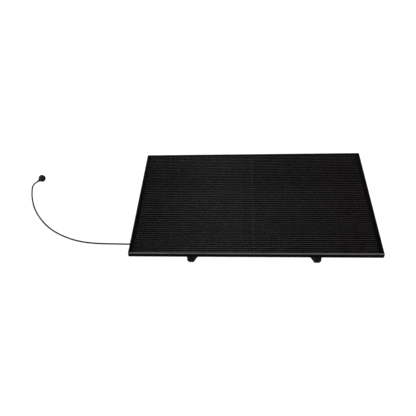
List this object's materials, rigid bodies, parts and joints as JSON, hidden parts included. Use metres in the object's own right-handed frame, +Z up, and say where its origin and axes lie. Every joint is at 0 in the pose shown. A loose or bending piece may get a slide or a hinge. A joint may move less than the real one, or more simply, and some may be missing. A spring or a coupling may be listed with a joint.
{
  "type": "solar panel",
  "caption": "Black framed solar module on two low floor supports that raise its tilt, with a microinverter beneath and a mains lead that ends in an angled plug.",
  "frame": {"origin": "on the floor, below the middle of the module and its supports, measured without the mains lead and plug", "axes": "+X along the module's long side, +Y from the low front edge to the high rear edge, +Z up"},
  "size_m": [2.8202, 1.1037, 0.2902],
  "materials": {
    "frame_anodised": "satin black anodised",
    "rail_anodised": "matt black anodised",
    "cast_black": "black powder coat on a casting",
    "bare_aluminium": "mill finish",
    "solar_glass": "low-iron tempered glass with an anti-reflective coat",
    "clear_film": "clear encapsulant",
    "cell_silicon": "monocrystalline silicon, near black",
    "tinned_ribbon": "tinned copper",
    "backsheet_black": "black polymer sheet",
    "silicone": "cured silicone",
    "moulded_black": "fine spark-eroded texture",
    "diode_black": "moulded epoxy",
    "stainless": "stainless steel",
    "pad_rubber": "recycled granulate rubber",
    "case_metal": "dark grey coated die casting",
    "board_green": "solder mask",
    "status_green": "clear green lens",
    "cord_rubber": "matt neoprene sheath",
    "plug_rubber": "solid rubber",
    "plug_face_grey": "hard plastic insert",
    "nickelled_brass": "nickel-plated brass"
  },
  "bodies": {
    "root": {"base_rail_left": "rail_anodised", "base_rail_right": "rail_anodised", "front_foot_left": "cast_black", "front_foot_right": "cast_black", "hinge_bolts": "stainless", "hinge_nuts": "stainless", "foot_bolts": "stainless", "foot_blocks": "bare_aluminium", "ear_screws": "stainless", "rubber_pads": "pad_rubber", "rail_end_caps": "moulded_black", "cross_rail": "rail_anodised", "rail_cleats": "rail_anodised", "cross_rail_bolts": "stainless", "inverter_case": "case_metal", "inverter_lid": "case_metal", "inverter_board": "board_green", "inverter_components": "diode_black", "inverter_inlets": "moulded_black", "status_lens": "status_green", "lid_screws": "stainless", "cord_gland": "moulded_black", "gland_nut": "moulded_black", "cord_relief": "cord_rubber", "mains_cord": "cord_rubber", "plug_body": "plug_rubber", "plug_relief": "cord_rubber", "plug_face": "plug_face_grey", "plug_contacts": "nickelled_brass"},
    "module": {"frame_front": "frame_anodised", "frame_rear": "frame_anodised", "frame_left": "frame_anodised", "frame_right": "frame_anodised", "corner_keys": "bare_aluminium", "front_glass": "solar_glass", "encapsulant_films": "clear_film", "solar_cells": "cell_silicon", "cell_ribbons": "tinned_ribbon", "backsheet": "backsheet_black", "edge_seal": "silicone", "junction_boxes": "moulded_black", "junction_lids": "moulded_black", "bypass_diodes": "diode_black", "junction_outlets": "moulded_black", "carrier_rail_left": "rail_anodised", "carrier_rail_right": "rail_anodised", "hinge_lugs": "bare_aluminium", "module_bolts": "stainless", "carrier_nuts": "stainless", "strut_pivot_bolts": "stainless", "lug_screws": "stainless", "carrier_end_caps": "moulded_black"},
    "strut_left": {"strut_left": "rail_anodised", "clamp_bolt_left": "stainless", "clamp_washers_left": "stainless"},
    "knob_left": {"star_knob_left": "moulded_black"},
    "strut_right": {"strut_right": "rail_anodised", "clamp_bolt_right": "stainless", "clamp_washers_right": "stainless"},
    "knob_right": {"star_knob_right": "moulded_black"}
  },
  "joints": [
    {"name": "tilt", "type": "hinge", "parent": "root", "child": "module", "pos_m": [0, -0.45415, 0.028], "axis": [1, 0, 0], "range_deg": [0, 20]},
    {"name": "strut_left_pivot", "type": "hinge", "parent": "module", "child": "strut_left", "pos_m": [-0.44, -0.00022, 0.14985], "axis": [1, 0, 0], "range_deg": [-40, 0]},
    {"name": "knob_left_turn", "type": "hinge", "parent": "strut_left", "child": "knob_left", "pos_m": [-0.47, 0.45371, 0.028], "axis": [1, 0, 0], "continuous": true},
    {"name": "strut_right_pivot", "type": "hinge", "parent": "module", "child": "strut_right", "pos_m": [0.44, -0.00022, 0.14985], "axis": [1, 0, 0], "range_deg": [-40, 0]},
    {"name": "knob_right_turn", "type": "hinge", "parent": "strut_right", "child": "knob_right", "pos_m": [0.47, 0.45371, 0.028], "axis": [1, 0, 0], "continuous": true}
  ],
  "couplings": [
    {"joint": "strut_left_pivot", "follows": "tilt", "ratio": -2},
    {"joint": "strut_right_pivot", "follows": "tilt", "ratio": -2}
  ]
}
